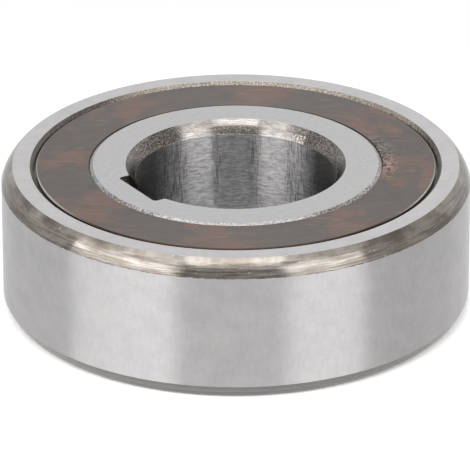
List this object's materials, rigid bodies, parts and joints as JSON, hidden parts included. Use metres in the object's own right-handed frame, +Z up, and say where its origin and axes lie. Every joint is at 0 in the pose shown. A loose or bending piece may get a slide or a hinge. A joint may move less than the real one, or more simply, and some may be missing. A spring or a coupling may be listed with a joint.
{
  "type": "sprag clutch bearing",
  "caption": "One-way clutch in the envelope of a deep-groove ball bearing: keyed inner ring, plain outer ring, and sprags between balls in one cage behind two shields.",
  "frame": {"origin": "middle of the bottom face, on the bore's axis", "axes": "+Z up along the bore axis, -X through the middle of the keyway"},
  "size_m": [0.035, 0.035, 0.011],
  "materials": {
    "outer_ring_steel": "ground, with turned brownish chamfers",
    "inner_ring_steel": "ground faces, turned bore chamfer",
    "shield_metal": "thin dark coating, copper brown to grey green, finely brushed",
    "cage_steel": "satin",
    "rivet_steel": "staked, satin",
    "spring_steel": "drawn wire",
    "ball_steel": "lapped and polished",
    "sprag_steel": "hardened, ground cams"
  },
  "bodies": {
    "outer_race": {"outer_ring": "outer_ring_steel"},
    "inner_race": {"inner_ring": "inner_ring_steel", "upper_shield": "shield_metal", "lower_shield": "shield_metal"},
    "cage": {"cage_body": "cage_steel", "cage_cover": "cage_steel", "cage_rivets": "rivet_steel", "garter_spring_upper": "spring_steel", "garter_spring_lower": "spring_steel"},
    "ball_1": {"ball_1": "ball_steel"},
    "ball_2": {"ball_2": "ball_steel"},
    "ball_3": {"ball_3": "ball_steel"},
    "ball_4": {"ball_4": "ball_steel"},
    "ball_5": {"ball_5": "ball_steel"},
    "ball_6": {"ball_6": "ball_steel"},
    "sprag_1": {"sprag_1": "sprag_steel"},
    "sprag_2": {"sprag_2": "sprag_steel"},
    "sprag_3": {"sprag_3": "sprag_steel"},
    "sprag_4": {"sprag_4": "sprag_steel"},
    "sprag_5": {"sprag_5": "sprag_steel"},
    "sprag_6": {"sprag_6": "sprag_steel"},
    "sprag_7": {"sprag_7": "sprag_steel"},
    "sprag_8": {"sprag_8": "sprag_steel"},
    "sprag_9": {"sprag_9": "sprag_steel"},
    "sprag_10": {"sprag_10": "sprag_steel"},
    "sprag_11": {"sprag_11": "sprag_steel"},
    "sprag_12": {"sprag_12": "sprag_steel"}
  },
  "joints": [
    {"name": "inner_spin", "type": "hinge", "parent": "outer_race", "child": "inner_race", "pos_m": [0, 0, 0.0055], "axis": [0, 0, 1], "range_deg": [0, 3690]},
    {"name": "cage_spin", "type": "hinge", "parent": "outer_race", "child": "cage", "pos_m": [0, 0, 0.0055], "axis": [0, 0, 1], "range_deg": [-1, 1420]},
    {"name": "ball_1_roll", "type": "hinge", "parent": "cage", "child": "ball_1", "pos_m": [0.01275, 0, 0.0055], "axis": [0, 0, 1], "range_deg": [-7480, 1]},
    {"name": "ball_2_roll", "type": "hinge", "parent": "cage", "child": "ball_2", "pos_m": [0.00637, 0.01104, 0.0055], "axis": [0, 0, 1], "range_deg": [-7480, 1]},
    {"name": "ball_3_roll", "type": "hinge", "parent": "cage", "child": "ball_3", "pos_m": [-0.00637, 0.01104, 0.0055], "axis": [0, 0, 1], "range_deg": [-7480, 1]},
    {"name": "ball_4_roll", "type": "hinge", "parent": "cage", "child": "ball_4", "pos_m": [-0.01275, 0, 0.0055], "axis": [0, 0, 1], "range_deg": [-7480, 1]},
    {"name": "ball_5_roll", "type": "hinge", "parent": "cage", "child": "ball_5", "pos_m": [-0.00637, -0.01104, 0.0055], "axis": [0, 0, 1], "range_deg": [-7480, 1]},
    {"name": "ball_6_roll", "type": "hinge", "parent": "cage", "child": "ball_6", "pos_m": [0.00637, -0.01104, 0.0055], "axis": [0, 0, 1], "range_deg": [-7480, 1]},
    {"name": "sprag_1_tilt", "type": "hinge", "parent": "cage", "child": "sprag_1", "pos_m": [0.01177, 0.00502, 0.0055], "axis": [0, 0, 1], "range_deg": [-8, 0], "stiffness_Nm_per_rad": 0.0005, "springref_deg": 8.59},
    {"name": "sprag_2_tilt", "type": "hinge", "parent": "cage", "child": "sprag_2", "pos_m": [0.01024, 0.00768, 0.0055], "axis": [0, 0, 1], "range_deg": [-8, 0]},
    {"name": "sprag_3_tilt", "type": "hinge", "parent": "cage", "child": "sprag_3", "pos_m": [0.00154, 0.01271, 0.0055], "axis": [0, 0, 1], "range_deg": [-8, 0]},
    {"name": "sprag_4_tilt", "type": "hinge", "parent": "cage", "child": "sprag_4", "pos_m": [-0.00154, 0.01271, 0.0055], "axis": [0, 0, 1], "range_deg": [-8, 0]},
    {"name": "sprag_5_tilt", "type": "hinge", "parent": "cage", "child": "sprag_5", "pos_m": [-0.01024, 0.00768, 0.0055], "axis": [0, 0, 1], "range_deg": [-8, 0]},
    {"name": "sprag_6_tilt", "type": "hinge", "parent": "cage", "child": "sprag_6", "pos_m": [-0.01177, 0.00502, 0.0055], "axis": [0, 0, 1], "range_deg": [-8, 0]},
    {"name": "sprag_7_tilt", "type": "hinge", "parent": "cage", "child": "sprag_7", "pos_m": [-0.01177, -0.00502, 0.0055], "axis": [0, 0, 1], "range_deg": [-8, 0]},
    {"name": "sprag_8_tilt", "type": "hinge", "parent": "cage", "child": "sprag_8", "pos_m": [-0.01024, -0.00768, 0.0055], "axis": [0, 0, 1], "range_deg": [-8, 0]},
    {"name": "sprag_9_tilt", "type": "hinge", "parent": "cage", "child": "sprag_9", "pos_m": [-0.00154, -0.01271, 0.0055], "axis": [0, 0, 1], "range_deg": [-8, 0]},
    {"name": "sprag_10_tilt", "type": "hinge", "parent": "cage", "child": "sprag_10", "pos_m": [0.00154, -0.01271, 0.0055], "axis": [0, 0, 1], "range_deg": [-8, 0]},
    {"name": "sprag_11_tilt", "type": "hinge", "parent": "cage", "child": "sprag_11", "pos_m": [0.01024, -0.00768, 0.0055], "axis": [0, 0, 1], "range_deg": [-8, 0]},
    {"name": "sprag_12_tilt", "type": "hinge", "parent": "cage", "child": "sprag_12", "pos_m": [0.01177, -0.00502, 0.0055], "axis": [0, 0, 1], "range_deg": [-8, 0]}
  ],
  "couplings": [
    {"joint": "cage_spin", "follows": "inner_spin", "ratio": 0.38327},
    {"joint": "ball_1_roll", "follows": "inner_spin", "ratio": -2.0251},
    {"joint": "ball_2_roll", "follows": "inner_spin", "ratio": -2.0251},
    {"joint": "ball_3_roll", "follows": "inner_spin", "ratio": -2.0251},
    {"joint": "ball_4_roll", "follows": "inner_spin", "ratio": -2.0251},
    {"joint": "ball_5_roll", "follows": "inner_spin", "ratio": -2.0251},
    {"joint": "ball_6_roll", "follows": "inner_spin", "ratio": -2.0251},
    {"joint": "sprag_2_tilt", "follows": "sprag_1_tilt", "ratio": 1},
    {"joint": "sprag_3_tilt", "follows": "sprag_1_tilt", "ratio": 1},
    {"joint": "sprag_4_tilt", "follows": "sprag_1_tilt", "ratio": 1},
    {"joint": "sprag_5_tilt", "follows": "sprag_1_tilt", "ratio": 1},
    {"joint": "sprag_6_tilt", "follows": "sprag_1_tilt", "ratio": 1},
    {"joint": "sprag_7_tilt", "follows": "sprag_1_tilt", "ratio": 1},
    {"joint": "sprag_8_tilt", "follows": "sprag_1_tilt", "ratio": 1},
    {"joint": "sprag_9_tilt", "follows": "sprag_1_tilt", "ratio": 1},
    {"joint": "sprag_10_tilt", "follows": "sprag_1_tilt", "ratio": 1},
    {"joint": "sprag_11_tilt", "follows": "sprag_1_tilt", "ratio": 1},
    {"joint": "sprag_12_tilt", "follows": "sprag_1_tilt", "ratio": 1}
  ]
}
